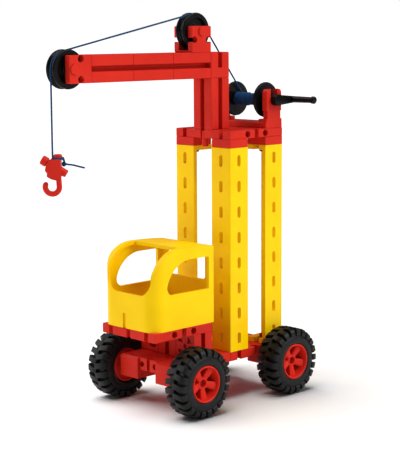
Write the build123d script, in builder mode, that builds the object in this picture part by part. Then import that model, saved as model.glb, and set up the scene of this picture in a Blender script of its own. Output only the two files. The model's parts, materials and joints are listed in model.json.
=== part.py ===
"""Toy tower crane: a four-wheeled crane built from 15 mm grooved blocks, plates and girders.

Units are millimetres, +Z is up. The jib and the cab point along -X, and the side with the
crank is -Y, called the left side. The origin is on the floor, under the middle of the crane.
"""
from math import asin, atan2, cos, pi, radians, sin, sqrt, tan
import os

from build123d import *

os.makedirs("parts", exist_ok=True)

# Building system
MODULE = 15.0           # side of a block and pitch of every groove, hole and slot
PLATE = 5.5             # thickness of a chassis plate
DECK_PLATE = 5.0        # thickness of the top deck and of the small plates under it
EDGE = 0.35             # chamfer on moulded edges
GROOVE_MOUTH = 3.2      # width of a groove at the surface
GROOVE_R = 2.0          # round bottom of a groove
GROOVE_CENTRE = 2.4     # depth of that round bottom's centre
MOUTH_DEPTH = 0.8       # depth of the middle of the groove's straight mouth
MOUTH_LENGTH = 2.2      # length of that mouth, past the surface and into the round bottom
CROSS_HOLE_R = 2.0      # hole across a long block near its studded end, and its place from there
CROSS_HOLE_AT = 3.2
RECESS_R = 2.5          # round recess near a long block's other end
RECESS_AT = 3.2
RECESS_DEPTH = 1.4
STUD_R = 1.5            # stud on a block's end
STUD_LENGTH = 3.2
FIT = 0.05              # radial play between a pin and its hole
PIN_R = 2.0             # pins and stub axles
EDGE_HOLE = 6.0         # depth of the holes in a plate's edge
CONTACT_GAP = 0.3       # room between pieces that move past each other

# Places of the main groups
TOWER_X = 30.04         # front face of the tower
MID_Y = 1.4             # middle of the tower, jib and cab
FOOT_Z = 29.0           # underside of the tower legs
TOWER_SIDE = 3 * MODULE

# Tower
LEG_HEIGHT = 8 * MODULE
FLANGE = 2.5            # wall of an angle girder
END_PLATE = 2.8
SLOT_LENGTH = 6.8
SLOT_WIDTH = 2.7
LEG_TOP = FOOT_Z + LEG_HEIGHT
DECK_Z = LEG_TOP + DECK_PLATE             # underside of the top deck
DECK_TOP = DECK_Z + DECK_PLATE
LEG_PIN_HEAD_R = 3.2
LEG_PIN_HEAD = 1.5
DECK_PIN_HANG = 5.0     # how far the pin in the deck's front groove hangs below the deck
PIN_SINK = 0.5          # a pin's end lies this far inside the plate that it holds

# Mast, jib and pulleys
JIB_Z = DECK_TOP + 2 * MODULE             # underside of the jib
JIB_MID_Z = JIB_Z + MODULE / 2
JIB_TIP_X = TOWER_X - 6 * MODULE
MAST_TOP = DECK_TOP + 3 * MODULE
BEARING_AXLE = 12.0     # height of a pulley's axle above its bearing's base
BEARING_SLOT = 7.5
BEARING_FLOOR = 1.1
AXLE_HEAD_R = 2.7
AXLE_HEAD = 1.0
PULLEY_R = 10.6
PULLEY_WIDTH = 6.9
PULLEY_GROOVE_R = 8.9

# Winch
WINCH_X = TOWER_X + 37.5
WINCH_Z = DECK_TOP + 16.5
WINCH_DEPTH = 14.2      # size of the winch frame along X
NEAR_ARM_Y = MID_Y - TOWER_SIDE / 2       # outer face of the arm beside the crank
FAR_ARM_Y = MID_Y + TOWER_SIDE / 2        # outer face of the other arm
ARM = 3.5
ARM_FOOT = 6.4          # length of the raised block under each arm
JOURNAL_R = 2.85
DISC_R = 10.4
DISC = 1.8
DRUM_CORE_R = 3.0
WINDING_R = 4.1
CRANK_RADIUS = 12.6
HUB_R = 3.4
HANDLE_R = 2.0
HANDLE_END_R = 2.2
HANDLE_LENGTH = 20.0

# Wheels
WHEEL_R = 20.0
TYRE_WIDTH = 15.0
RIM_R = 10.7
TYRE_OUTER_Y = 40.7     # outer face of a tyre, from the middle of the crane
AXLE_Z = WHEEL_R
FRONT_AXLE_X = TOWER_X - 2.5 * MODULE
REAR_AXLE_X = TOWER_X + 2.5 * MODULE
BEARING_BOTTOM = 16.2
SPOKES = 5

# Cab
CAB_PLATE_Z = FOOT_Z + MODULE
CAB_Z = CAB_PLATE_Z + PLATE
CAB_TOP = CAB_Z + 45.7
CAB_FRONT = TOWER_X - 60.6
CAB_REAR = TOWER_X - 12.4
CAB_WIDTH = 44.8
CAB_WALL = 2.0
CAB_SILL = CAB_Z + 20.1
CAB_NOSE_R = 22.0       # side view radius of the nose
CAB_CORNER_R = 9.0

# Cord
CORD_R = 0.5
CORD_GROOVE_R = PULLEY_GROOVE_R + CONTACT_GAP + CORD_R
HOOK_DROP = 44.5        # from the tip pulley's axle down to the top of the hook


def finish(piece, name):
    """Name a finished piece and write it as the node of that name."""
    piece.part.label = name
    export_step(piece.part, f"parts/{name}.step")


def keyholes():
    """Sketch the four grooves of a block's cross-section."""
    with PolarLocations(MODULE / 2 - GROOVE_CENTRE, 4):
        Circle(GROOVE_R)
    with PolarLocations(MODULE / 2 - MOUTH_DEPTH, 4):
        Rectangle(MOUTH_LENGTH, GROOVE_MOUTH)


def across(plane, distance, turn):
    """A plane on a block's surface at a distance along it, turned to one of its four sides."""
    middle = plane.offset(distance).rotated((0, 0, turn))
    return Plane(origin=middle.from_local_coords((MODULE / 2, 0, 0)), x_dir=middle.y_dir,
                 z_dir=middle.x_dir)


def grooved_block(name, plane, length, groove_start=0.0, stud=True, socket=True, pocketed=False):
    """A square block along the plane's normal, grooved on four sides.

    A pocketed block also has a cross hole near its start and a round recess near its end, on
    each side.
    """
    with BuildPart() as block:
        with BuildSketch(plane):
            Rectangle(MODULE, MODULE)
        extrude(amount=length)
        chamfer(block.edges(), EDGE)
        with BuildSketch(plane.offset(groove_start)):
            keyholes()
        extrude(amount=length - groove_start, mode=Mode.SUBTRACT)
        if stud:
            with BuildSketch(plane):
                Circle(STUD_R)
            extrude(amount=-STUD_LENGTH)
        if socket:
            with BuildSketch(plane.offset(length)):
                Circle(STUD_R + FIT)
            extrude(amount=-STUD_LENGTH - CONTACT_GAP, mode=Mode.SUBTRACT)
        if pocketed:
            for turn in (0, 90, 180, 270):
                with BuildSketch(across(plane, CROSS_HOLE_AT, turn)):
                    Circle(CROSS_HOLE_R)
                extrude(amount=-MODULE / 2 + 1.0, mode=Mode.SUBTRACT)
                with BuildSketch(across(plane, length - RECESS_AT, turn)):
                    Circle(RECESS_R)
                extrude(amount=-RECESS_DEPTH, mode=Mode.SUBTRACT)
    finish(block, name)


def grooved_plate(name, centre_x, bottom, thickness, grooved_sides, pin_spots=()):
    """A 45 mm square plate with three grooves on two sides, and hole, groove, hole on the others.

    grooved_sides is "X" where the three grooves are in the front and rear edges, else "Y".
    """
    turn = 0 if grooved_sides == "X" else 90
    half = TOWER_SIDE / 2
    middle = Plane(origin=(centre_x, MID_Y, bottom)).rotated((0, 0, turn))
    with BuildPart() as plate:
        with BuildSketch(middle):
            Rectangle(TOWER_SIDE, TOWER_SIDE)
        extrude(amount=thickness)
        chamfer(plate.edges(), EDGE)
        with BuildSketch(middle):
            for side in (-1, 1):
                with Locations((side * (half - GROOVE_CENTRE), 0)):
                    with GridLocations(1, MODULE, 1, 3):
                        Circle(GROOVE_R)
                with Locations((side * (half - MOUTH_DEPTH), 0)):
                    with GridLocations(1, MODULE, 1, 3):
                        Rectangle(MOUTH_LENGTH, GROOVE_MOUTH)
                with Locations((0, side * (half - GROOVE_CENTRE))):
                    Circle(GROOVE_R)
                with Locations((0, side * (half - MOUTH_DEPTH))):
                    Rectangle(GROOVE_MOUTH, MOUTH_LENGTH)
        extrude(amount=thickness, mode=Mode.SUBTRACT)
        edge_plane = Plane(origin=middle.from_local_coords((0, 0, thickness / 2)),
                           x_dir=middle.x_dir, z_dir=middle.y_dir)
        for side in (-1, 1):
            with BuildSketch(edge_plane.offset(side * half)):
                with GridLocations(MODULE, 1, 2, 1):
                    Circle(PIN_R + FIT)
            extrude(amount=-side * EDGE_HOLE, mode=Mode.SUBTRACT)
        if pin_spots:
            with BuildSketch(Plane.XY.offset(bottom)):
                with Locations(*pin_spots):
                    Circle(PIN_R + FIT)
            extrude(amount=thickness, mode=Mode.SUBTRACT)
    finish(plate, name)


# ---------------------------------------------------------------- tower

LEG_CORNERS = {
    "front_left": (-1, -1),
    "front_right": (-1, 1),
    "rear_left": (1, -1),
    "rear_right": (1, 1),
}


def leg_centre(corner):
    """Middle of the square that a leg fills."""
    out_x, out_y = LEG_CORNERS[corner]
    return TOWER_X + MODULE * (1.5 + out_x), MID_Y + MODULE * out_y


LEG_SPOTS = [leg_centre(corner) for corner in LEG_CORNERS]


def tower_leg(corner):
    """A perforated angle girder with a notched plate at each end."""
    out_x, out_y = LEG_CORNERS[corner]
    x, y = leg_centre(corner)
    face_x = x + out_x * MODULE / 2
    face_y = y + out_y * MODULE / 2
    slot_mid = FOOT_Z + LEG_HEIGHT / 2
    with BuildPart() as leg:
        with BuildSketch(Plane.XY.offset(FOOT_Z)):
            with Locations((face_x - out_x * FLANGE / 2, y)):
                Rectangle(FLANGE, MODULE)
            with Locations((x, face_y - out_y * FLANGE / 2)):
                Rectangle(MODULE, FLANGE)
        extrude(amount=LEG_HEIGHT)
        fillet(leg.edges().filter_by(Axis.Z).sort_by_distance((face_x, face_y, slot_mid))[0], 0.7)
        with BuildSketch(Plane.YZ.offset(face_x)):
            with Locations((y, slot_mid)):
                with GridLocations(1, MODULE, 1, 8):
                    SlotOverall(SLOT_LENGTH, SLOT_WIDTH, rotation=90)
        extrude(amount=-out_x * (FLANGE + 1), mode=Mode.SUBTRACT)
        with BuildSketch(Plane.XZ.offset(-face_y)):
            with Locations((x, slot_mid)):
                with GridLocations(1, MODULE, 1, 8):
                    SlotOverall(SLOT_LENGTH, SLOT_WIDTH, rotation=90)
        extrude(amount=out_y * (FLANGE + 1), mode=Mode.SUBTRACT)
        inner = MODULE - FLANGE
        for level in (FOOT_Z, FOOT_Z + LEG_HEIGHT - END_PLATE):
            with BuildSketch(Plane.XY.offset(level)):
                with Locations((x - out_x * FLANGE / 2, y - out_y * FLANGE / 2)):
                    Rectangle(inner, inner)
                with Locations((x, y)):
                    Circle(PIN_R + FIT, mode=Mode.SUBTRACT)
                with Locations((x - out_x * MODULE / 4, y)):
                    Rectangle(MODULE / 2, 2 * (PIN_R + FIT), mode=Mode.SUBTRACT)
            extrude(amount=END_PLATE)
    finish(leg, f"tower_leg_{corner}")


for corner in LEG_CORNERS:
    tower_leg(corner)


def leg_pins(name, shank_bottom, shank_top, head_bottom):
    """Four headed pins, one through each leg's end plate."""
    with BuildPart() as pins:
        with BuildSketch(Plane.XY.offset(shank_bottom)):
            with Locations(*LEG_SPOTS):
                Circle(PIN_R)
        extrude(amount=shank_top - shank_bottom)
        with BuildSketch(Plane.XY.offset(head_bottom)):
            with Locations(*LEG_SPOTS):
                Circle(LEG_PIN_HEAD_R)
        extrude(amount=LEG_PIN_HEAD)
    finish(pins, name)


leg_pins("leg_bottom_pins", FOOT_Z - PLATE + PIN_SINK, FOOT_Z + END_PLATE, FOOT_Z + END_PLATE)
leg_pins("leg_top_pins", LEG_TOP - END_PLATE, DECK_TOP - PIN_SINK, LEG_TOP - END_PLATE - LEG_PIN_HEAD)


def deck_spacer(corner):
    """A small plate between a leg and the top deck."""
    x, y = leg_centre(corner)
    with BuildPart() as spacer:
        with BuildSketch(Plane.XY.offset(LEG_TOP)):
            with Locations((x, y)):
                Rectangle(MODULE, MODULE)
        extrude(amount=DECK_PLATE)
        chamfer(spacer.edges(), EDGE)
        with BuildSketch(Plane.XY.offset(LEG_TOP)):
            with Locations((x, y)):
                Circle(PIN_R + FIT)
        extrude(amount=DECK_PLATE, mode=Mode.SUBTRACT)
    finish(spacer, f"deck_spacer_{corner}")


for corner in LEG_CORNERS:
    deck_spacer(corner)

grooved_plate("top_deck", TOWER_X + TOWER_SIDE / 2, DECK_Z, DECK_PLATE, "X", LEG_SPOTS)

with BuildPart() as deck_pin:
    with BuildSketch(Plane.XY.offset(DECK_Z - DECK_PIN_HANG)):
        with Locations((TOWER_X + GROOVE_CENTRE, MID_Y)):
            Circle(GROOVE_R - FIT)
    extrude(amount=DECK_PIN_HANG + DECK_PLATE - PIN_SINK)
    chamfer(deck_pin.edges(), EDGE)
finish(deck_pin, "deck_pin")

# ---------------------------------------------------------------- chassis

grooved_plate("rear_chassis_plate", TOWER_X + TOWER_SIDE / 2, FOOT_Z - PLATE, PLATE, "Y", LEG_SPOTS)
grooved_plate("cab_floor_plate", TOWER_X - 2.5 * MODULE, CAB_PLATE_Z, PLATE, "X")

FRONT_BEAM_X = TOWER_X - 3 * MODULE       # front face of the cross block between the front wheels

with BuildPart() as front_chassis_plate:
    with BuildSketch(Plane.XY.offset(FOOT_Z - PLATE)):
        with Locations((TOWER_X - MODULE, MID_Y)):
            Rectangle(2 * MODULE, TOWER_SIDE)
    extrude(amount=PLATE)
    chamfer(front_chassis_plate.edges(), EDGE)
    with BuildSketch(Plane.XY.offset(FOOT_Z - PLATE)):
        for side in (-1, 1):
            with Locations((TOWER_X - 1.5 * MODULE, MID_Y + side * (TOWER_SIDE / 2 - GROOVE_CENTRE))):
                Circle(GROOVE_R)
            with Locations((TOWER_X - 1.5 * MODULE, MID_Y + side * (TOWER_SIDE / 2 - MOUTH_DEPTH))):
                Rectangle(GROOVE_MOUTH, MOUTH_LENGTH)
    extrude(amount=PLATE, mode=Mode.SUBTRACT)
finish(front_chassis_plate, "front_chassis_plate")

BEAM_HEIGHT = MODULE / 2

with BuildPart() as front_cross_block:
    with BuildSketch(Plane.XY.offset(FOOT_Z - BEAM_HEIGHT)):
        with Locations((FRONT_BEAM_X + MODULE / 2, MID_Y)):
            Rectangle(MODULE, MODULE)
    extrude(amount=BEAM_HEIGHT)
    chamfer(front_cross_block.edges(), EDGE)
    with BuildSketch(Plane.YZ.offset(FRONT_BEAM_X)):
        with Locations((MID_Y, FOOT_Z - BEAM_HEIGHT / 2)):
            with GridLocations(10.8, 1, 2, 1):
                Circle(1.7)
    extrude(amount=5, mode=Mode.SUBTRACT)
    with BuildSketch(Plane.XY.offset(FOOT_Z - BEAM_HEIGHT)):
        with Locations((FRONT_BEAM_X + GROOVE_CENTRE, MID_Y)):
            Circle(GROOVE_R)
        with Locations((FRONT_BEAM_X + MOUTH_DEPTH, MID_Y)):
            Rectangle(MOUTH_LENGTH, 2.4)
    extrude(amount=BEAM_HEIGHT, mode=Mode.SUBTRACT)
finish(front_cross_block, "front_cross_block")

BLOCK_X = TOWER_X - 1.5 * MODULE          # middle of the row of blocks under the cab


def plain_block(y):
    """A plain 15 mm block of the row that carries the cab's floor."""
    with BuildPart() as block:
        with BuildSketch(Plane.XY.offset(FOOT_Z)):
            with Locations((BLOCK_X, y)):
                Rectangle(MODULE, MODULE)
        extrude(amount=MODULE)
        chamfer(block.edges(), EDGE)
    return block.part


plain_left = plain_block(MID_Y - MODULE)
plain_middle = plain_block(MID_Y)
plain_right = plain_block(MID_Y + MODULE)

with BuildPart() as cab_block_left:
    add(plain_left)
    with BuildSketch(Plane.XY.offset(FOOT_Z)):
        for side in (-1, 1):
            with Locations((BLOCK_X, MID_Y - MODULE + side * (MODULE / 2 - GROOVE_CENTRE))):
                Circle(GROOVE_R)
            with Locations((BLOCK_X, MID_Y - MODULE + side * (MODULE / 2 - MOUTH_DEPTH))):
                Rectangle(GROOVE_MOUTH, MOUTH_LENGTH)
    extrude(amount=MODULE, mode=Mode.SUBTRACT)
    with BuildSketch(Plane.YZ.offset(BLOCK_X - MODULE / 2)):
        with Locations((MID_Y - MODULE, FOOT_Z + MODULE / 2)):
            Circle(1.35)
            with PolarLocations(4.9, 4, start_angle=45):
                RegularPolygon(2.5, 3, rotation=60)
    extrude(amount=1.6, mode=Mode.SUBTRACT)
finish(cab_block_left, "cab_block_left")

with BuildPart() as cab_block_middle:
    add(plain_middle)
    with BuildSketch(Plane.XY.offset(FOOT_Z)):
        with Locations((BLOCK_X - MODULE / 2 + GROOVE_CENTRE, MID_Y)):
            Circle(GROOVE_R)
        with Locations((BLOCK_X - MODULE / 2 + MOUTH_DEPTH, MID_Y)):
            Rectangle(MOUTH_LENGTH, GROOVE_MOUTH)
    extrude(amount=MODULE, mode=Mode.SUBTRACT)
finish(cab_block_middle, "cab_block_middle")

with BuildPart() as cab_block_right:
    add(plain_right)
    with BuildSketch(Plane.YZ.offset(BLOCK_X - MODULE / 2)):
        with Locations((MID_Y + MODULE - 2.5, FOOT_Z + 4.2)):
            SlotOverall(5.4, 3.4)
    extrude(amount=6, mode=Mode.SUBTRACT)
finish(cab_block_right, "cab_block_right")

# ---------------------------------------------------------------- wheels

WHEELS = {
    "front_left": (FRONT_AXLE_X, -1),
    "front_right": (FRONT_AXLE_X, 1),
    "rear_left": (REAR_AXLE_X, -1),
    "rear_right": (REAR_AXLE_X, 1),
}
BLOCK_INNER = MODULE / 2                  # inner and outer face of a bearing block, from the middle
BLOCK_OUTER = TOWER_SIDE / 2


def wheel_plane(where, distance):
    """A plane across a wheel's axis, at a distance from the crane's middle, facing outwards."""
    x, side = WHEELS[where]
    return Plane(origin=(x, MID_Y + side * distance, AXLE_Z), x_dir=(-side, 0, 0), z_dir=(0, side, 0))


def half_section(where):
    """A plane through a wheel's axis: local X is the radius, local Y the distance outwards."""
    x, side = WHEELS[where]
    return Plane(origin=(x, MID_Y, AXLE_Z), x_dir=(side, 0, 0), z_dir=(0, 0, 1))


def axle_line(where):
    """The axis that a wheel turns about."""
    x, side = WHEELS[where]
    return Axis((x, MID_Y, AXLE_Z), (0, side, 0))


def bearing_block(where):
    """A block under the chassis that holds a stub axle; the front ones stand up to the floor's top."""
    x, side = WHEELS[where]
    front = where.startswith("front")
    lip = 1.5 if front else 0.0
    top = FOOT_Z if front else FOOT_Z - PLATE
    with BuildPart() as block:
        with BuildSketch(Plane.XY.offset(BEARING_BOTTOM)):
            with Locations((x - lip / 2, MID_Y + side * MODULE)):
                Rectangle(MODULE + lip, MODULE)
        extrude(amount=top - BEARING_BOTTOM)
        if front:
            nose = block.faces().sort_by(Axis.X)[0]
            chamfer(nose.edges().sort_by(Axis.Z)[-1], 1.2)
        else:
            chamfer(block.edges(), EDGE)
        with BuildSketch(wheel_plane(where, BLOCK_OUTER)):
            Circle(PIN_R + FIT)
        extrude(amount=-MODULE + 1.5, mode=Mode.SUBTRACT)
    finish(block, f"axle_block_{where}")


def stub_axle(where):
    """A stub axle with the collar that keeps the wheel off the block."""
    with BuildPart() as axle:
        with BuildSketch(wheel_plane(where, BLOCK_INNER + 2.0)):
            Circle(PIN_R)
        extrude(amount=TYRE_OUTER_Y - 5.0 - BLOCK_INNER - 2.0)
        with BuildSketch(wheel_plane(where, BLOCK_OUTER + CONTACT_GAP)):
            Circle(3.4)
        extrude(amount=2.0)
    finish(axle, f"stub_axle_{where}")


def rim(where):
    """A five-spoked rim: a barrel, a dished web with five windows, and a hub."""
    inner = TYRE_OUTER_Y - TYRE_WIDTH
    outer = TYRE_OUTER_Y
    web = outer - 5.2
    with BuildPart() as wheel:
        with BuildSketch(half_section(where)):
            with BuildLine():
                Polyline((8.6, inner + 0.6), (RIM_R - 1.2, inner + 0.6), (RIM_R - 0.6, inner + 1.6),
                         (RIM_R - 0.6, outer - 1.6), (RIM_R, outer - 1.0), (RIM_R, outer - 0.3),
                         (RIM_R - 0.4, outer), (RIM_R - 1.1, outer), (RIM_R - 1.5, outer - 0.5),
                         (9.0, web + 1.2), (8.6, web), (8.6, inner + 0.6))
            make_face()
        revolve(axis=axle_line(where))
        with BuildSketch(wheel_plane(where, web)):
            Circle(8.9)
        extrude(amount=2.0)
        with BuildSketch(wheel_plane(where, inner + 2.0)):
            Circle(3.3)
        extrude(amount=outer - 2.6 - inner - 2.0)
        with BuildSketch(wheel_plane(where, web)):
            with PolarLocations(0, SPOKES, start_angle=90):
                with Locations((6.1, 0)):
                    Trapezoid(5.0, 4.2, 70, rotation=90)
        extrude(amount=3.0, mode=Mode.SUBTRACT)
        with BuildSketch(wheel_plane(where, inner + 1.0)):
            Circle(PIN_R + FIT)
        extrude(amount=TYRE_WIDTH, mode=Mode.SUBTRACT)
    finish(wheel, f"rim_{where}")


def tyre(where):
    """A tyre with rounded shoulders that fills the space outside the rim."""
    inner = TYRE_OUTER_Y - TYRE_WIDTH
    outer = TYRE_OUTER_Y
    with BuildPart() as ring:
        with BuildSketch(half_section(where)):
            with BuildLine():
                Polyline((RIM_R + FIT, inner), (WHEEL_R - 3.4, inner), (WHEEL_R - 1.2, inner + 1.0),
                         (WHEEL_R, inner + 3.2), (WHEEL_R, outer - 3.2), (WHEEL_R - 1.2, outer - 1.0),
                         (WHEEL_R - 3.4, outer), (RIM_R + FIT, outer), (RIM_R + FIT, inner))
            make_face()
        revolve(axis=axle_line(where))
    finish(ring, f"tyre_{where}")


for where in WHEELS:
    bearing_block(where)
    stub_axle(where)
    rim(where)
    tyre(where)

# ---------------------------------------------------------------- cab


def cab_outline(inset):
    """Side view of the cab, moved in by a wall's thickness."""
    front = CAB_FRONT + inset
    rear = CAB_REAR - inset
    top = CAB_TOP - inset
    radius = CAB_NOSE_R - inset
    with BuildSketch(Plane.XZ.offset(-MID_Y)) as outline:
        with BuildLine():
            Line((rear, CAB_Z), (front, CAB_Z))
            Line((front, CAB_Z), (front, top - radius))
            TangentArc((front, top - radius), (front + radius, top), tangent=(0, 1))
            TangentArc((front + radius, top), (rear, top - 1.2), tangent=(1, 0))
            Line((rear, top - 1.2), (rear, CAB_Z))
        make_face()
    return outline.sketch


def cab_body(inset):
    """The cab's outside, or its inside when moved in by a wall's thickness."""
    corner = CAB_CORNER_R - inset
    outline = cab_outline(inset)
    with BuildPart() as body:
        with BuildSketch(Plane.XY.offset(CAB_Z)) as plan:
            with Locations(((CAB_FRONT + CAB_REAR) / 2, MID_Y)):
                Rectangle(CAB_REAR - CAB_FRONT - 2 * inset, CAB_WIDTH - 2 * inset)
            fillet(plan.vertices().group_by(Axis.X)[0], corner)
            fillet(plan.vertices().group_by(Axis.X)[-1], 2.2 - inset / 2)
        extrude(amount=CAB_TOP - CAB_Z)
        extrude(outline, amount=CAB_WIDTH, both=True, mode=Mode.INTERSECT)
    return body.part


cab_outside = cab_body(0)
cab_inside = cab_body(CAB_WALL)
WINDOW_TOP = CAB_TOP - 6.7
WINDOW_REAR = CAB_REAR - 5.1
WINDOW_CURVE_R = WINDOW_TOP - CAB_SILL    # quarter circle at the front of the window
WINDOW_FRONT = CAB_FRONT + 9.6

with BuildPart() as driver_cab:
    add(cab_outside)
    add(cab_inside, mode=Mode.SUBTRACT)
    with BuildSketch(Plane.XZ.offset(-MID_Y)) as side_window:
        with BuildLine():
            Line((WINDOW_REAR, CAB_SILL), (WINDOW_FRONT, CAB_SILL))
            TangentArc((WINDOW_FRONT, CAB_SILL), (WINDOW_FRONT + WINDOW_CURVE_R, WINDOW_TOP),
                       tangent=(0, 1))
            Line((WINDOW_FRONT + WINDOW_CURVE_R, WINDOW_TOP), (WINDOW_REAR, WINDOW_TOP))
            Line((WINDOW_REAR, WINDOW_TOP), (WINDOW_REAR, CAB_SILL))
        make_face()
        fillet(side_window.vertices().sort_by(Axis.X)[0], 4.5)
        fillet(side_window.vertices().group_by(Axis.X)[-1], 1.0)
    extrude(amount=CAB_WIDTH, both=True, mode=Mode.SUBTRACT)
    with BuildSketch(Plane.YZ.offset(CAB_REAR + 1)):
        with Locations((MID_Y, (CAB_SILL + 4.0 + WINDOW_TOP) / 2)):
            RectangleRounded(32.0, WINDOW_TOP - CAB_SILL - 4.0, 2.0)
    extrude(amount=-CAB_WALL - 3.0, mode=Mode.SUBTRACT)
    with BuildSketch(Plane.YZ.offset(CAB_FRONT - 1)):
        with Locations((MID_Y, CAB_SILL + 25)):
            RectangleRounded(36.6, 50, 8.8)
    extrude(amount=CAB_NOSE_R + 2.0, mode=Mode.SUBTRACT)
    with BuildSketch(Plane.YZ.offset(CAB_FRONT)):
        with Locations((MID_Y + 2.5, CAB_Z + 4.2)):
            Rectangle(2.8, 8.8)
    extrude(amount=1.1, mode=Mode.SUBTRACT)
finish(driver_cab, "driver_cab")

# ---------------------------------------------------------------- mast, jib and pulleys

MAST_FOOT = Plane(origin=(TOWER_X + MODULE / 2, MID_Y, DECK_TOP))
grooved_block("mast_lower_block", MAST_FOOT, 2 * MODULE, stud=False)
grooved_block("mast_upper_block", MAST_FOOT.offset(2 * MODULE), MODULE, groove_start=6.0, socket=False)

for number, name in enumerate(("jib_block_inner", "jib_block_middle", "jib_block_outer")):
    start = Plane(origin=(TOWER_X - 2 * MODULE * number, MID_Y, JIB_MID_Z),
                  x_dir=(0, 0, 1), z_dir=(-1, 0, 0))
    grooved_block(name, start, 2 * MODULE, stud=number > 0, socket=number < 2, pocketed=True)

TIP_BASE = Plane(origin=(JIB_TIP_X, MID_Y, JIB_MID_Z), x_dir=(0, 0, 1), z_dir=(-1, 0, 0))
TOP_BASE = Plane(origin=(TOWER_X - MODULE / 2, MID_Y, MAST_TOP), x_dir=(1, 0, 0), z_dir=(0, 0, 1))


def side_view(base):
    """The plane through a bearing's middle, seen along the pulley's axle."""
    return Plane(origin=base.origin, x_dir=base.x_dir, z_dir=-base.y_dir)


def pulley_bearing(name, base):
    """A forked block: two necked arms with a pulley between them."""
    view = side_view(base)
    with BuildPart() as bearing:
        with BuildSketch(view) as outline:
            with Locations((0, MODULE / 2)):
                Rectangle(MODULE, MODULE)
            fillet(outline.vertices(), 0.8)
            for side in (-1, 1):
                with Locations((side * 5.4, 7.2)):
                    Circle(1.9, mode=Mode.SUBTRACT)
                with Locations((side * 7.0, 7.2)):
                    Rectangle(2.4, 2.4, mode=Mode.SUBTRACT)
        extrude(amount=MODULE / 2, both=True)
        with BuildSketch(view):
            with Locations((0, BEARING_FLOOR + MODULE / 2)):
                Rectangle(MODULE + 1, MODULE)
        extrude(amount=BEARING_SLOT / 2, both=True, mode=Mode.SUBTRACT)
        with BuildSketch(view):
            with Locations((0, BEARING_AXLE)):
                Circle(PIN_R + FIT)
        extrude(amount=MODULE, both=True, mode=Mode.SUBTRACT)
    finish(bearing, name)


def pulley_axle(name, base):
    """The pin through a bearing, with a round head outside each arm."""
    view = side_view(base)
    with BuildPart() as axle:
        with BuildSketch(view):
            with Locations((0, BEARING_AXLE)):
                Circle(PIN_R)
        extrude(amount=MODULE / 2 + 0.5, both=True)
        for side in (-1, 1):
            with BuildSketch(view.offset(side * MODULE / 2)):
                with Locations((0, BEARING_AXLE)):
                    Circle(AXLE_HEAD_R)
            extrude(amount=side * AXLE_HEAD)
        chamfer(axle.edges().group_by(Axis.Y)[0] + axle.edges().group_by(Axis.Y)[-1], 0.3)
    finish(axle, name)


def pulley(name, base):
    """A grooved wheel with a dished web on each side."""
    centre = base.from_local_coords((0, 0, BEARING_AXLE))
    half = PULLEY_WIDTH / 2
    with BuildPart() as wheel:
        with BuildSketch(Plane(origin=centre, x_dir=(1, 0, 0), z_dir=(0, 0, 1))):
            with BuildLine():
                Polyline((PIN_R + FIT, -half), (4.0, -half), (4.4, -1.8), (7.4, -1.8), (7.8, -half),
                         (PULLEY_R - 0.5, -half), (PULLEY_R, -half + 0.5), (PULLEY_R, -half + 1.2),
                         (PULLEY_GROOVE_R, -1.0), (PULLEY_GROOVE_R, 1.0), (PULLEY_R, half - 1.2),
                         (PULLEY_R, half - 0.5), (PULLEY_R - 0.5, half), (7.8, half), (7.4, 1.8),
                         (4.4, 1.8), (4.0, half), (PIN_R + FIT, half), (PIN_R + FIT, -half))
            make_face()
        revolve(axis=Axis(centre, (0, 1, 0)))
    finish(wheel, name)


for name, base in (("tip", TIP_BASE), ("top", TOP_BASE)):
    pulley_bearing(f"{name}_pulley_bearing", base)
    pulley_axle(f"{name}_pulley_axle", base)
    pulley(f"{name}_pulley", base)

# ---------------------------------------------------------------- winch

FRAME_FRONT = WINCH_X - WINCH_DEPTH / 2
FRAME_BASE = 3.5
FRAME_FOOT = 5.4
NECK_WIDTH = 11.2       # the fork's neck, and the wider head round the drum's journal
HEAD_WIDTH = 12.6
HEAD_HEIGHT = 12.8


def winch_view(y):
    """A plane across the winch's axis at the given place, facing -Y, with the axis at its origin."""
    return Plane(origin=(WINCH_X, y, WINCH_Z), x_dir=(1, 0, 0), z_dir=(0, -1, 0))


def winch_section():
    """The plane through the winch's axis: local X is the radius, local Y runs along +Y."""
    return Plane(origin=(WINCH_X, 0, WINCH_Z), x_dir=(1, 0, 0), z_dir=(0, 0, 1))


WINCH_AXIS = Axis((WINCH_X, 0, WINCH_Z), (0, 1, 0))

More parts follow.
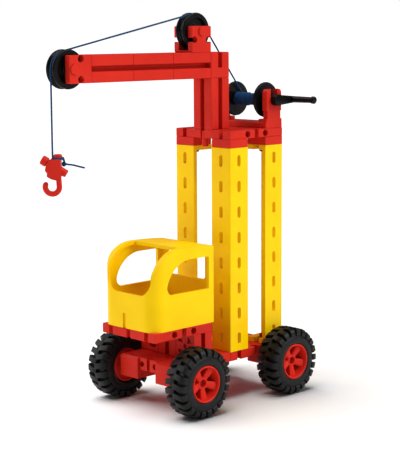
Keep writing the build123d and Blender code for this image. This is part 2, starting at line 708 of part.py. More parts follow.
with BuildPart() as winch_frame:
    with BuildSketch(Plane.XY.offset(DECK_TOP)):
        with Locations((WINCH_X, (NEAR_ARM_Y + FAR_ARM_Y) / 2)):
            Rectangle(WINCH_DEPTH, FAR_ARM_Y - NEAR_ARM_Y)
    extrude(amount=FRAME_BASE)
    chamfer(winch_frame.edges(), EDGE)
    for start, end in ((NEAR_ARM_Y, NEAR_ARM_Y + ARM_FOOT), (FAR_ARM_Y - ARM_FOOT, FAR_ARM_Y)):
        with BuildSketch(Plane.XY.offset(DECK_TOP + FRAME_BASE / 2)):
            with Locations((WINCH_X, (start + end) / 2)):
                Rectangle(WINCH_DEPTH - 0.8, end - start)
        extrude(amount=FRAME_FOOT - FRAME_BASE / 2)
    for outer, inward in ((NEAR_ARM_Y, -1), (FAR_ARM_Y, 1)):
        foot = DECK_TOP + FRAME_FOOT - 0.5 - WINCH_Z
        with BuildSketch(winch_view(outer)) as arm:
            with Locations((0, foot / 2 - 1)):
                Rectangle(NECK_WIDTH, -foot + 2)
            with Locations((0, 0.1)):
                Rectangle(HEAD_WIDTH, HEAD_HEIGHT)
            fillet(arm.vertices().group_by(Axis.Y)[-1], 2.4)
            Circle(JOURNAL_R + FIT, mode=Mode.SUBTRACT)
            with Locations((0, HEAD_HEIGHT / 2)):
                Rectangle(2 * (JOURNAL_R + FIT), HEAD_HEIGHT, mode=Mode.SUBTRACT)
            with Locations((0, HEAD_HEIGHT / 2 - 1.4)):
                Trapezoid(2 * (JOURNAL_R + FIT), 3.4, 110, mode=Mode.SUBTRACT)
        extrude(amount=inward * ARM)
    with BuildSketch(Plane.YZ.offset(WINCH_X + WINCH_DEPTH / 2)):
        with Locations((NEAR_ARM_Y + 3.2, DECK_TOP + 3.0)):
            Circle(1.7)
    extrude(amount=0.9)
finish(winch_frame, "winch_frame")

DISC_NEAR_Y = MID_Y - 15.6                # middle of each disc of the drum
DISC_FAR_Y = MID_Y + 8.9
DRUM_END = NEAR_ARM_Y - 2.6

NEAR_IN = DISC_NEAR_Y + DISC / 2          # faces of the two discs
NEAR_OUT = DISC_NEAR_Y - DISC / 2
FAR_IN = DISC_FAR_Y - DISC / 2
FAR_OUT = DISC_FAR_Y + DISC / 2
NEAR_ARM_IN = NEAR_ARM_Y + ARM + 0.4
CONE_R = 5.6            # the cone from the near disc to the drum's core
CONE_END = NEAR_IN + 1.6

with BuildPart() as winch_drum:
    with BuildSketch(winch_section()):
        with BuildLine():
            Polyline((0, DRUM_END), (PIN_R, DRUM_END), (PIN_R, NEAR_ARM_Y - CONTACT_GAP),
                     (JOURNAL_R, NEAR_ARM_Y - CONTACT_GAP), (JOURNAL_R, NEAR_ARM_IN), (4.2, NEAR_ARM_IN),
                     (4.6, NEAR_OUT), (DISC_R - 0.4, NEAR_OUT), (DISC_R, NEAR_OUT + 0.4),
                     (DISC_R, NEAR_IN - 0.4), (DISC_R - 0.4, NEAR_IN), (CONE_R, NEAR_IN),
                     (WINDING_R, CONE_END - 0.2), (DRUM_CORE_R, CONE_END), (DRUM_CORE_R, FAR_IN),
                     (DISC_R - 0.4, FAR_IN), (DISC_R, FAR_IN + 0.4), (DISC_R, FAR_OUT - 0.4),
                     (DISC_R - 0.4, FAR_OUT), (JOURNAL_R, FAR_OUT), (JOURNAL_R, FAR_ARM_Y + 0.6),
                     (0, FAR_ARM_Y + 0.6), (0, DRUM_END))
        make_face()
    revolve(axis=WINCH_AXIS)
finish(winch_drum, "winch_drum")

WINDING_START = CONE_END + FIT            # the two layers of the winding meet at its waist
WINDING_WAIST = MID_Y - 2.2
WINDING_END = FAR_IN - FIT
THIN_WINDING_R = WINDING_R - 0.4

with BuildPart() as cord_winding:
    bore = DRUM_CORE_R + FIT
    with BuildSketch(winch_section()):
        with BuildLine():
            Polyline((bore, WINDING_START), (THIN_WINDING_R - 0.4, WINDING_START),
                     (THIN_WINDING_R, WINDING_START + 0.5), (THIN_WINDING_R, WINDING_WAIST - 0.4),
                     (WINDING_R, WINDING_WAIST + 0.4), (WINDING_R, WINDING_END - 0.5),
                     (WINDING_R - 0.4, WINDING_END), (bore, WINDING_END), (bore, WINDING_START))
        make_face()
    revolve(axis=WINCH_AXIS)
finish(cord_winding, "cord_winding")

HUB_IN = NEAR_ARM_Y - CONTACT_GAP
HUB_OUT = HUB_IN - 3.6
CRANK_ARM = 2.9         # thickness of the crank's arm

with BuildPart() as crank:
    with BuildSketch(winch_view(HUB_IN)):
        Circle(HUB_R)
    extrude(amount=HUB_IN - HUB_OUT)
    with BuildSketch(winch_view(HUB_OUT + CRANK_ARM)):
        with BuildLine():
            Polyline((0, -3.1), (CRANK_RADIUS, -HANDLE_R), (CRANK_RADIUS, HANDLE_R), (0, 3.1), (0, -3.1))
        make_face()
        with Locations((CRANK_RADIUS, 0)):
            Circle(HANDLE_R)
    extrude(amount=CRANK_ARM)
    with BuildSketch(winch_view(HUB_OUT + CRANK_ARM)):
        with Locations((CRANK_RADIUS, 0)):
            Circle(HANDLE_R)
    extrude(amount=HANDLE_LENGTH, taper=0.7)
    with BuildSketch(winch_view(HUB_OUT + CRANK_ARM - HANDLE_LENGTH + 2.2)):
        with Locations((CRANK_RADIUS, 0)):
            Circle(HANDLE_END_R)
    extrude(amount=2.2)
    chamfer(crank.faces().sort_by(Axis.Y)[0].edges(), 0.6)
    with BuildSketch(winch_view(HUB_IN + 1)):
        Circle(PIN_R + FIT)
    extrude(amount=1 + HUB_IN - DRUM_END + FIT, mode=Mode.SUBTRACT)
finish(crank, "winch_crank")

# ---------------------------------------------------------------- hook

TIP_CENTRE = TIP_BASE.from_local_coords((0, 0, BEARING_AXLE))
TOP_CENTRE = TOP_BASE.from_local_coords((0, 0, BEARING_AXLE))
HANG_X = TIP_CENTRE.X - CORD_GROOVE_R
HOOK_TOP = Vector(HANG_X, MID_Y, TIP_CENTRE.Z - HOOK_DROP)

# The hook hangs turned by 45 degrees: local X runs to the right rear, local Y is up. Its origin
# is on the hanging cord, level with the top of the stud that the cord is tied round.
HOOK_PLANE = Plane(origin=HOOK_TOP, x_dir=(1, -1, 0), z_dir=(-1, -1, 0))
HOOK_BODY_HALF = 3.3    # half the thickness of the hook's body
HOOK_WIRE_R = 1.5
BEND_CENTRE = (-0.4, -17.4)
BEND_R = 3.75
PIN_START = (-5.9, -2.6)                  # ends of the cross pin's middle line
PIN_END = (7.4, -10.6)
HOOK_PIN_R = 2.1
HOOK_PIN_HEAD_R = 2.6
HOOK_PIN_HEAD = 3.4
STUD_X = 2.85           # the stud that the cord is tied round
HOOK_STUD_R = 2.3
TIE_DROP = 1.95         # the loop round the stud, below the stud's top
BODY_TOP = -2.45
pin_start = HOOK_PLANE.from_local_coords((*PIN_START, 0))
pin_end = HOOK_PLANE.from_local_coords((*PIN_END, 0))
pin_plane = Plane(origin=pin_start, z_dir=pin_end - pin_start)
pin_length = (pin_end - pin_start).length

with BuildPart() as hook_pin:
    with BuildSketch(pin_plane):
        Circle(HOOK_PIN_HEAD_R)
    extrude(amount=HOOK_PIN_HEAD)
    with BuildSketch(pin_plane):
        Circle(HOOK_PIN_R)
    extrude(amount=pin_length)
    fillet(hook_pin.faces().sort_by(Axis.Z)[-1].edges(), 0.9)
    fillet(hook_pin.faces().sort_by(Axis.Z)[0].edges(), 0.6)
finish(hook_pin, "hook_cross_pin")

with BuildPart() as hook:
    with BuildSketch(HOOK_PLANE) as side:
        with BuildLine():
            Polyline((-1.0, BODY_TOP), (4.5, BODY_TOP), (4.7, -11.9), (2.0, -13.7), (-0.6, -13.0),
                     (-3.0, -11.6), (-2.8, -9.9), (-3.9, -8.4), (-3.2, -5.0), (-1.0, BODY_TOP))
        make_face()
        fillet(side.vertices(), 0.7)
    extrude(amount=HOOK_BODY_HALF, both=True)
    stud = Plane(origin=HOOK_PLANE.from_local_coords((STUD_X, BODY_TOP, 0)), z_dir=(0, 0, 1))
    with BuildSketch(stud):
        Circle(HOOK_STUD_R)
    extrude(amount=-BODY_TOP)
    chamfer(hook.faces().sort_by(Axis.Z)[-1].edges(), 0.5)
    with BuildLine(HOOK_PLANE) as bend:
        Line((BEND_CENTRE[0] + BEND_R - 0.4, -11.5), (BEND_CENTRE[0] + BEND_R, BEND_CENTRE[1]))
        CenterArc(BEND_CENTRE, BEND_R, 0, -200)
    with BuildSketch(Plane(origin=bend.wires()[0] @ 0, z_dir=bend.wires()[0] % 0)):
        Circle(HOOK_WIRE_R)
    sweep()
    with Locations(bend.wires()[0] @ 1):
        Sphere(HOOK_WIRE_R - FIT)
    with BuildSketch(pin_plane.offset(HOOK_PIN_HEAD + FIT)):
        Circle(HOOK_PIN_R + FIT)
    extrude(amount=pin_length, mode=Mode.SUBTRACT)
    with BuildSketch(pin_plane.offset(-2)):
        Circle(HOOK_PIN_HEAD_R + FIT)
    extrude(amount=HOOK_PIN_HEAD + FIT + 2, mode=Mode.SUBTRACT)
finish(hook, "crane_hook")

# ---------------------------------------------------------------- cord


def upper_tangent(first, first_r, second, second_r):
    """The line over two circles on the XZ plane: where it starts, and its unit direction."""
    span = sqrt((second.X - first.X) ** 2 + (second.Z - first.Z) ** 2)
    angle = atan2(second.Z - first.Z, second.X - first.X) - asin((second_r - first_r) / span)
    start = Vector(first.X + first_r * sin(angle), MID_Y, first.Z - first_r * cos(angle))
    return start, Vector(cos(angle), 0, sin(angle))


def crossing(point_a, direction_a, point_b, direction_b):
    """Where two lines on the XZ plane cross."""
    away = point_b - point_a
    scale = direction_a.X * direction_b.Z - direction_a.Z * direction_b.X
    reach = (away.X * direction_b.Z - away.Z * direction_b.X) / scale
    return point_a + direction_a * reach


drum_centre = Vector(WINCH_X, MID_Y, WINCH_Z)
leave, rise = upper_tangent(drum_centre, WINDING_R + CORD_R + CONTACT_GAP, TOP_CENTRE, CORD_GROOVE_R)
over, run = upper_tangent(TOP_CENTRE, CORD_GROOVE_R, TIP_CENTRE, CORD_GROOVE_R)
top_corner = crossing(leave, rise, over, run)
tip_corner = crossing(over, run, Vector(HANG_X, MID_Y, 0), Vector(0, 0, 1))
cord_start = leave + Vector(0, FAR_IN - CONTACT_GAP - CORD_R - MID_Y, 0)
split = Vector(HANG_X, MID_Y, TIP_CENTRE.Z - 6.0)
UPPER_ROUTE = [cord_start, top_corner, tip_corner, split]


def widest_radii(route):
    """The largest arc at each corner that takes 0.45 of the shorter run beside it."""
    radii = []
    for before, corner, after in zip(route, route[1:], route[2:]):
        turn = (corner - before).get_angle(after - corner)
        shorter = min((corner - before).length, (after - corner).length)
        radii.append(0.45 * shorter / tan(radians(turn / 2)))
    return radii


def cord_tube(name, route, radii):
    """A round cord along straight runs joined by arcs."""
    with BuildPart() as cord:
        with BuildLine() as path:
            if radii:
                FilletPolyline(*route, radius=radii)
            else:
                Polyline(*route)
        line = path.wires()[0]
        with BuildSketch(Plane(origin=line @ 0, z_dir=line % 0)):
            Circle(CORD_R)
        sweep()
    finish(cord, name)
    print(name, "length", round(line.length, 2), "volume over section times length",
          round(cord.part.volume / (pi * CORD_R ** 2 * line.length), 5),
          "radii", [round(radius, 2) for radius in radii or []])
    print("  route", [tuple(round(c, 2) for c in (p.X, p.Y, p.Z)) for p in route])


cord_tube("upper_cord", UPPER_ROUTE, [CORD_GROOVE_R, CORD_GROOVE_R])
cord_tube("hanging_cord", [split, HOOK_TOP - Vector(0, 0, TIE_DROP - CORD_R)], None)

KNOT = (6.2, -5.4)                        # middle of the knot beside the hook's body
KNOT_R = 1.3
tail_points = [(KNOT[0] + KNOT_R, -5.4), (10.4, -5.6), (13.7, -6.5), (17.0, -7.3)]
tail_route = [HOOK_PLANE.from_local_coords((*point, 0)) for point in tail_points]
tail_radii = widest_radii(tail_route)
cord_tube("cord_tail", tail_route, tail_radii)

with BuildPart() as cord_knot:
    with Locations(HOOK_PLANE.from_local_coords((*KNOT, 0))):
        Sphere(KNOT_R)
    tie_middle = HOOK_PLANE.from_local_coords((STUD_X, -TIE_DROP, 0))
    tie_r = HOOK_STUD_R + FIT + CORD_R
    with BuildSketch(Plane(origin=tie_middle, x_dir=(1, -1, 0), z_dir=(-1, -1, 0))):
        with Locations((tie_r, 0)):
            Circle(CORD_R)
    revolve(axis=Axis(tie_middle, (0, 0, 1)))
    with BuildLine(HOOK_PLANE) as link:
        Line((STUD_X + tie_r, -TIE_DROP), KNOT)
    with BuildSketch(Plane(origin=link.wires()[0] @ 0, z_dir=link.wires()[0] % 0)):
        Circle(CORD_R)
    sweep()
finish(cord_knot, "cord_knot")
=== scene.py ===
"""Looks of the toy tower crane: camera, light, materials, and the detailed pieces on the CAD frame."""
import json
import math

import bmesh
import bpy
from mathutils import Matrix, Vector


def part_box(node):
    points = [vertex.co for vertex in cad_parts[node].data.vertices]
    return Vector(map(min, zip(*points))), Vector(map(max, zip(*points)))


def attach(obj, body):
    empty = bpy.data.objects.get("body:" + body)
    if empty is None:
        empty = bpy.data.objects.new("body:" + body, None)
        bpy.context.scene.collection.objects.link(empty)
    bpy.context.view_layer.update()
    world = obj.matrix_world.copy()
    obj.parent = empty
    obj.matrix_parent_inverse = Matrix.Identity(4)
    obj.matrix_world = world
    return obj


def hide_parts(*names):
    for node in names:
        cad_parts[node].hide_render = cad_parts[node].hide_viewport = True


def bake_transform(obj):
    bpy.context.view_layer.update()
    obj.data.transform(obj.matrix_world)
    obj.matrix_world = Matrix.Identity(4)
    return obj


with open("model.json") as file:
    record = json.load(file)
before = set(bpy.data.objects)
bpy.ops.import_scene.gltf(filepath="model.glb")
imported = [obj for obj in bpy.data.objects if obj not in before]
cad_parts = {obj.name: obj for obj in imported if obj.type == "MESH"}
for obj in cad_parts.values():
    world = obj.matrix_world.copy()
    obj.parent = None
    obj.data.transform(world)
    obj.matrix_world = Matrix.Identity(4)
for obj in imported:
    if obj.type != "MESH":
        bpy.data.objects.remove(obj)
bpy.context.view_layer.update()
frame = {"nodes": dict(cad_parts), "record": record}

MM = 0.001
SLOTS = {entry["node"]: entry["material_slot"] for entry in frame["record"]["subparts"]}
BODY_OF = {node: body for body, nodes in frame["record"]["behaviour"]["bodies"].items() for node in nodes}
CORNERS = ("front_left", "front_right", "rear_left", "rear_right")


def middle(node):
    """Centre of a CAD node's box."""
    low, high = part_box(node)
    return (low + high) / 2


# ---------------------------------------------------------------- camera

CAMERA_PLACE = Vector((-531.4, -567.1, 216.9)) * MM
CAMERA_AZIMUTH = math.radians(-44.517)
CAMERA_HEIGHT = math.radians(8.399)
CAMERA_ROLL = math.radians(-0.334)
CAMERA_LENS = 106.3              # focal length in mm, on a sensor SENSOR_WIDTH wide
SENSOR_WIDTH = 36.0


def make_camera():
    """The camera at CAMERA_PLACE, turned about the vertical, tilted and rolled by the angles above."""
    data = bpy.data.cameras.new("camera")
    data.sensor_width = SENSOR_WIDTH
    data.lens = CAMERA_LENS
    data.clip_start = 0.01
    camera = bpy.data.objects.new("camera", data)
    bpy.context.scene.collection.objects.link(camera)
    level = Vector((math.cos(CAMERA_AZIMUTH), math.sin(CAMERA_AZIMUTH), 0))
    back = Vector((math.sin(CAMERA_AZIMUTH) * math.cos(CAMERA_HEIGHT),
                   -math.cos(CAMERA_AZIMUTH) * math.cos(CAMERA_HEIGHT),
                   math.sin(CAMERA_HEIGHT)))
    upright = back.cross(level)
    right = level * math.cos(CAMERA_ROLL) + upright * math.sin(CAMERA_ROLL)
    up = upright * math.cos(CAMERA_ROLL) - level * math.sin(CAMERA_ROLL)
    turn = Matrix((right, up, back)).transposed()
    camera.matrix_world = Matrix.Translation(CAMERA_PLACE) @ turn.to_4x4()
    bpy.context.scene.camera = camera


make_camera()

# ---------------------------------------------------------------- mesh helpers


def add_object(name, mesh):
    piece = bpy.data.objects.new(name, mesh)
    bpy.context.scene.collection.objects.link(piece)
    return piece


def mesh_from(name, bm, smooth_angle=35):
    """Turn a bmesh into a mesh with smooth faces and sharp edges above the given angle."""
    bmesh.ops.recalc_face_normals(bm, faces=bm.faces)
    mesh = bpy.data.meshes.new(name)
    bm.to_mesh(mesh)
    bm.free()
    mesh.polygons.foreach_set("use_smooth", [True] * len(mesh.polygons))
    mesh.set_sharp_from_angle(angle=math.radians(smooth_angle))
    return mesh


def bevel(piece, width, segments=2, angle=32):
    """Round a piece's edges by a width in millimetres."""
    modifier = piece.modifiers.new("rounded edges", "BEVEL")
    modifier.width = width * MM
    modifier.segments = segments
    modifier.limit_method = "ANGLE"
    modifier.angle_limit = math.radians(angle)
    modifier.use_clamp_overlap = True
    modifier.harden_normals = True
    return piece


def tube(name, points, radius, sides=12, pitch=2.4 * MM):
    """A round tube along points, with u along the tube in turns of its lay and v around it."""
    bm = bmesh.new()
    uv = bm.loops.layers.uv.new("lay")
    tangents = []
    for index in range(len(points)):
        ahead = points[min(index + 1, len(points) - 1)]
        behind = points[max(index - 1, 0)]
        tangents.append((ahead - behind).normalized())
    side = tangents[0].orthogonal().normalized()
    rings = []
    lengths = [0.0]
    for index, (point, tangent) in enumerate(zip(points, tangents)):
        if index:
            side = tangents[index - 1].rotation_difference(tangent) @ side
            lengths.append(lengths[-1] + (point - points[index - 1]).length)
        other = tangent.cross(side)
        ring = []
        for step in range(sides):
            angle = 2 * math.pi * step / sides
            ring.append(bm.verts.new(point + (side * math.cos(angle) + other * math.sin(angle)) * radius))
        rings.append(ring)
    for index in range(len(rings) - 1):
        for step in range(sides):
            beside = (step + 1) % sides
            face = bm.faces.new((rings[index][step], rings[index][beside],
                                 rings[index + 1][beside], rings[index + 1][step]))
            around = ((step, index), (step + 1, index), (step + 1, index + 1), (step, index + 1))
            for loop, (turn, place) in zip(face.loops, around):
                loop[uv].uv = (lengths[place] / pitch, turn / sides)
    bm.faces.new(reversed(rings[0]))
    bm.faces.new(rings[-1])
    return mesh_from(name, bm, 60)


def spline_points(name, controls):
    """Points along the smooth line of a NURBS spline with these control points."""
    curve = bpy.data.curves.new(name, "CURVE")
    curve.dimensions = "3D"
    curve.resolution_u = 16
    spline = curve.splines.new("NURBS")
    spline.points.add(len(controls) - 1)
    for point, control in zip(spline.points, controls):
        point.co = (*control, 1.0)
    spline.order_u = 3
    spline.use_endpoint_u = True
    holder = add_object(name, curve)
    bpy.context.view_layer.update()
    line = bpy.data.meshes.new_from_object(holder.evaluated_get(bpy.context.evaluated_depsgraph_get()))
    points = [vertex.co.copy() for vertex in line.vertices]
    bpy.data.objects.remove(holder)
    bpy.data.curves.remove(curve)
    bpy.data.meshes.remove(line)
    return points


# ---------------------------------------------------------------- cord

CORD_R = 0.5 * MM
LOOP_R = 2.85 * MM               # of the loop round the hook's stud, to the cord's middle
KNOT_SIZE = 1.1 * MM
HOOK_TOP = Vector((-81.66, 1.4, 152.0)) * MM      # on the hanging cord, level with the stud's top


def hook_point(right, up, toward=0.0):
    """A place on the hook, in mm from HOOK_TOP, in the hook's own turned plane."""
    half = math.sqrt(0.5)
    return HOOK_TOP + Vector(((right - toward) * half, (-right - toward) * half, up)) * MM


DRUM_END = Vector((71.10, 8.60, 178.87)) * MM
CORD_ROUTE = [
    DRUM_END,
    Vector((33.39, 2.60, 218.65)) * MM,
    Vector((25.87, 1.40, 226.59)) * MM,
    Vector((15.10, 1.40, 224.37)) * MM,
    Vector((-64.33, 1.40, 207.98)) * MM,
    Vector((-81.66, 1.40, 204.40)) * MM,
    Vector((-81.66, 1.40, 186.70)) * MM,
    Vector((-81.66, 1.40, 169.00)) * MM,
    Vector((-81.66, 1.40, 156.00)) * MM,
    hook_point(0.05, -1.6, 0.0),
    hook_point(0.3, -2.0, 1.7),
    hook_point(1.9, -2.0, 2.85),
    hook_point(4.4, -2.0, 2.85),
    hook_point(6.0, -2.6, 1.4),
    hook_point(6.4, -4.6, 0.4),
    hook_point(7.5, -5.4),
    hook_point(10.4, -5.6),
    hook_point(13.7, -6.5),
    hook_point(17.0, -7.3),
]


def make_cord():
    """The whole free cord, from the drum over both pulleys to its loose end beside the hook."""
    path = spline_points("cord_line", CORD_ROUTE)
    piece = add_object("hoist_cord", tube("hoist_cord", path, CORD_R))
    make_knot()
    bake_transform(piece)
    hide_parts("upper_cord", "hanging_cord", "cord_tail")
    return piece


def make_knot():
    """The loop round the hook's stud, and the knot that closes it."""
    stud = hook_point(2.85, -1.95)
    loop = [stud + Vector((math.cos(a), math.sin(a), 0)) * LOOP_R
            for a in (2 * math.pi * step / 40 for step in range(41))]
    centre = hook_point(6.1, -5.2)
    knot = []
    for step in range(97):
        a = 2 * math.pi * step / 96
        reach = 0.62 + 0.28 * math.cos(3 * a)
        across = Vector((math.sqrt(0.5), -math.sqrt(0.5), 0)) * (reach * math.cos(2 * a))
        upward = Vector((0, 0, 1)) * (reach * math.sin(2 * a))
        toward = Vector((-math.sqrt(0.5), -math.sqrt(0.5), 0)) * (0.42 * math.sin(3 * a))
        knot.append(centre + (across + upward + toward) * KNOT_SIZE)
    link = spline_points("link_line", [hook_point(5.7, -2.1), hook_point(6.3, -3.2, -0.3),
                                       hook_point(6.1, -4.8)])
    bm = bmesh.new()
    for points, radius in ((loop, CORD_R), (knot, CORD_R * 0.9), (link, CORD_R)):
        part = tube("part", points, radius, 10)
        bm.from_mesh(part)
        bpy.data.meshes.remove(part)
    piece = add_object("cord_tie", mesh_from("cord_tie", bm, 60))
    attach(piece, "hook")
    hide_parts("cord_knot")
    return piece


hoist_cord = make_cord()

# ---------------------------------------------------------------- materials


def new_material(name):
    """A new material, with its node tree and shader."""
    material = bpy.data.materials.new(name)
    material.use_nodes = True
    tree = material.node_tree
    shader = tree.nodes["Principled BSDF"]
    return material, tree, shader


def noise(tree, coords, scale, detail=3.0, roughness=0.5):
    """A smooth random value about 0.5, with features about 1 / scale metres across."""
    node = tree.nodes.new("ShaderNodeTexNoise")
    node.inputs["Scale"].default_value = scale
    node.inputs["Detail"].default_value = detail
    node.inputs["Roughness"].default_value = roughness
    tree.links.new(coords, node.inputs["Vector"])
    return node.outputs["Fac"]


def ramp(tree, value, stops):
    """Turn a value into a colour between two stops of (value, colour)."""
    node = tree.nodes.new("ShaderNodeValToRGB")
    node.color_ramp.elements[0].position = stops[0][0]
    node.color_ramp.elements[0].color = (*stops[0][1], 1)
    node.color_ramp.elements[1].position = stops[1][0]
    node.color_ramp.elements[1].color = (*stops[1][1], 1)
    tree.links.new(value, node.inputs["Fac"])
    return node.outputs["Color"]


def spread(tree, value, low, high):
    """Map a 0 to 1 value onto a narrow range."""
    node = tree.nodes.new("ShaderNodeMapRange")
    node.inputs["From Min"].default_value = 0.3
    node.inputs["From Max"].default_value = 0.7
    node.inputs["To Min"].default_value = low
    node.inputs["To Max"].default_value = high
    tree.links.new(value, node.inputs["Value"])
    return node.outputs["Result"]


def bump(tree, shader, height, distance, strength=1.0, normal=None):
    """Raise the surface by a height of 0 to 1 times a distance in metres, on top of another bump."""
    node = tree.nodes.new("ShaderNodeBump")
    node.inputs["Distance"].default_value = distance
    node.inputs["Strength"].default_value = strength
    tree.links.new(height, node.inputs["Height"])
    if normal is not None:
        tree.links.new(normal, node.inputs["Normal"])
    tree.links.new(node.outputs["Normal"], shader.inputs["Normal"])
    return node.outputs["Normal"]


WAVE_HEIGHT = 0.03 * MM
GRAIN_HEIGHT = 0.006 * MM


def moulded_plastic(name, dark, light, rough, gloss):
    """Injection moulded plastic: faint flow marks in the colour, a fine moulded grain and soft gloss."""
    material, tree, shader = new_material(name)
    coords = tree.nodes.new("ShaderNodeTexCoord").outputs["Object"]
    flow = noise(tree, coords, 55, 4, 0.55)
    tree.links.new(ramp(tree, flow, ((0.3, dark), (0.7, light))), shader.inputs["Base Color"])
    patches = noise(tree, coords, 160, 3)
    tree.links.new(spread(tree, patches, rough - 0.05, rough + 0.07), shader.inputs["Roughness"])
    shader.inputs["IOR"].default_value = 1.5
    shader.inputs["Specular IOR Level"].default_value = gloss
    waves = bump(tree, shader, noise(tree, coords, 90, 1), WAVE_HEIGHT, 0.6)
    bump(tree, shader, noise(tree, coords, 2600, 2), GRAIN_HEIGHT, 0.8, waves)
    return material


RUBBER_DARK = (0.003, 0.003, 0.0032)
RUBBER_WORN = (0.011, 0.0112, 0.0115)


def tyre_rubber():
    """Black rubber: greyer and rougher where it is scuffed, with a fine pitted surface."""
    material, tree, shader = new_material("tyre_rubber")
    coords = tree.nodes.new("ShaderNodeTexCoord").outputs["Object"]
    scuffs = noise(tree, coords, 130, 5, 0.65)
    tree.links.new(ramp(tree, scuffs, ((0.35, RUBBER_DARK), (0.75, RUBBER_WORN))),
                   shader.inputs["Base Color"])
    tree.links.new(spread(tree, scuffs, 0.36, 0.55), shader.inputs["Roughness"])
    shader.inputs["Specular IOR Level"].default_value = 0.2
    coarse = bump(tree, shader, noise(tree, coords, 420, 3), 0.05 * MM, 0.5)
    bump(tree, shader, noise(tree, coords, 2400, 2), 0.015 * MM, 0.8, coarse)
    return material


STRANDS = 3.0                    # of the cord, each a slanting stripe round it
# the cord's blue darkened into painted shade, for the grooves between strands; CORD_STRAND is the strands'
# own blue
CORD_GROOVE_SHADE = (0.002, 0.018, 0.060)
CORD_STRAND = (0.008, 0.065, 0.180)


def twisted_cord():
    """Thin blue-grey cord of twisted strands: the lay runs slantwise round the tube, with painted shade in
    the grooves between the strands.
    """
    material, tree, shader = new_material("twisted_cord")
    uv = tree.nodes.new("ShaderNodeUVMap")
    uv.uv_map = "lay"
    parts = tree.nodes.new("ShaderNodeSeparateXYZ")
    tree.links.new(uv.outputs["UV"], parts.inputs["Vector"])
    strands = tree.nodes.new("ShaderNodeMath")
    strands.operation = "MULTIPLY_ADD"
    strands.inputs[1].default_value = STRANDS
    tree.links.new(parts.outputs["X"], strands.inputs[0])
    around = tree.nodes.new("ShaderNodeMath")
    around.operation = "MULTIPLY"
    around.inputs[1].default_value = STRANDS
    tree.links.new(parts.outputs["Y"], around.inputs[0])
    tree.links.new(around.outputs["Value"], strands.inputs[2])
    wave = tree.nodes.new("ShaderNodeMath")
    wave.operation = "PINGPONG"
    wave.inputs[1].default_value = 0.5
    tree.links.new(strands.outputs["Value"], wave.inputs[0])
    doubled = tree.nodes.new("ShaderNodeMath")
    doubled.operation = "MULTIPLY"
    doubled.inputs[1].default_value = 2.0
    tree.links.new(wave.outputs["Value"], doubled.inputs[0])
    # the cord's own blue on the strands, turning to painted shade in the grooves between them
    tree.links.new(ramp(tree, doubled.outputs["Value"],
                        ((0.0, CORD_GROOVE_SHADE), (0.8, CORD_STRAND))),
                   shader.inputs["Base Color"])
    shader.inputs["Roughness"].default_value = 0.75
    shader.inputs["Specular IOR Level"].default_value = 0.08
    shader.inputs["Sheen Weight"].default_value = 0.06
    shader.inputs["Sheen Roughness"].default_value = 0.5
    bump(tree, shader, doubled.outputs["Value"], 0.12 * MM, 0.8)
    return material


# slot: darker colour, lighter colour, roughness, gloss
PLASTICS = {
    "yellow_plastic": ((0.93, 0.570, 0.0005), (0.98, 0.635, 0.001), 0.36, 0.09),
    "red_plastic": ((0.56, 0.017, 0.009), (0.64, 0.024, 0.012), 0.34, 0.09),
    "dark_red_plastic": ((0.26, 0.004, 0.006), (0.33, 0.006, 0.008), 0.40, 0.09),
    "black_plastic": ((0.002, 0.002, 0.0022), (0.004, 0.004, 0.0045), 0.28, 0.12),
}
MATERIALS = {slot: moulded_plastic(slot, *look) for slot, look in PLASTICS.items()}
MATERIALS["black_rubber"] = tyre_rubber()
MATERIALS["blue_cord"] = twisted_cord()


def paint(piece, slot):
    """Give a piece its slot's material and no other."""
    piece.data.materials.clear()
    piece.data.materials.append(MATERIALS[slot])


paint(hoist_cord, "blue_cord")
paint(bpy.data.objects["cord_tie"], "blue_cord")

# ---------------------------------------------------------------- mouldings with rounded edges


def moulding(node, width, segments):
    """The CAD node's own shape, as a moulding with edges rounded by a width in mm, in a few steps."""
    bm = bmesh.new()
    bm.from_mesh(frame["nodes"][node].data)
    bmesh.ops.remove_doubles(bm, verts=bm.verts, dist=2e-6)
    bmesh.ops.dissolve_limit(bm, angle_limit=math.radians(0.8), verts=bm.verts, edges=bm.edges)
    piece = add_object(f"{node}_moulding", mesh_from(f"{node}_moulding", bm, 32))
    bevel(piece, width, segments)
    paint(piece, SLOTS[node])
    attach(piece, BODY_OF[node])
    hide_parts(node)
    return piece


# width of the rounded edges in mm, and how many faces round each edge
USUAL_EDGE = (0.25, 2)
EDGES = {
    "driver_cab": (0.75, 3),
    "crane_hook": (0.75, 4),
    "hook_cross_pin": (1.0, 5),
    "tip_pulley": (0.2, 2),
    "top_pulley": (0.2, 2),
    "winch_crank": (0.35, 2),
    "winch_frame": (0.35, 2),
}
REMADE = {"upper_cord", "hanging_cord", "cord_tail", "cord_knot", "cord_winding"}
REMADE |= {f"{kind}_{corner}" for kind in ("tyre", "rim") for corner in CORNERS}

for node in frame["nodes"]:
    if node not in REMADE:
        moulding(node, *EDGES.get(node, USUAL_EDGE))

# ---------------------------------------------------------------- cord wound on the drum


WINDING_TURNS = 20.5
WINDING_WAIST = -0.8 * MM        # where the thicker winding on the far side begins, along Y
THIN_WINDING = 0.4 * MM          # how much lower the near part of the winding lies
TURN_STEPS = 28


